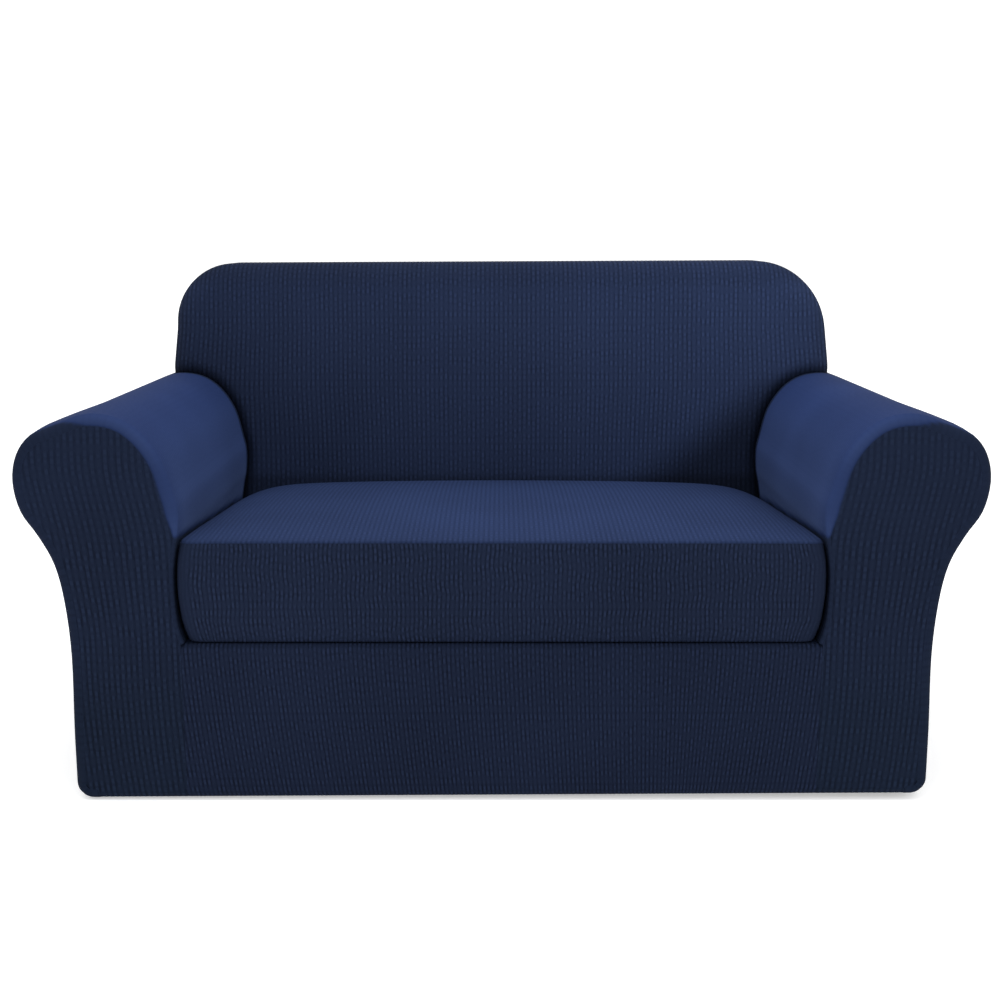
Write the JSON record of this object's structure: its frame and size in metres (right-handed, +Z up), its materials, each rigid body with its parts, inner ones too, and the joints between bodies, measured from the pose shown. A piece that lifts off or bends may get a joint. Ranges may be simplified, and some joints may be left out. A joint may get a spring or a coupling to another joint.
{
  "type": "sofa slipcover",
  "caption": "Stretch cover for a two-seat sofa with rolled arms: a base cover open underneath, and a separate cover for the seat cushion.",
  "frame": {"origin": "on the floor, in the middle of the cover's footprint", "axes": "+Z up, the front of the sofa faces -Y, +X to the right as seen from the front"},
  "size_m": [1.663, 0.9248, 0.9233],
  "materials": {
    "ribbed_knit": "matt navy ribbed stretch knit"
  },
  "bodies": {
    "root": {"back_inside": "ribbed_knit", "back_outside": "ribbed_knit", "arm_left": "ribbed_knit", "arm_right": "ribbed_knit", "arm_front_left": "ribbed_knit", "arm_front_right": "ribbed_knit", "front_rail": "ribbed_knit", "seat_deck": "ribbed_knit", "cushion_top": "ribbed_knit", "cushion_band": "ribbed_knit"}
  },
  "joints": []
}
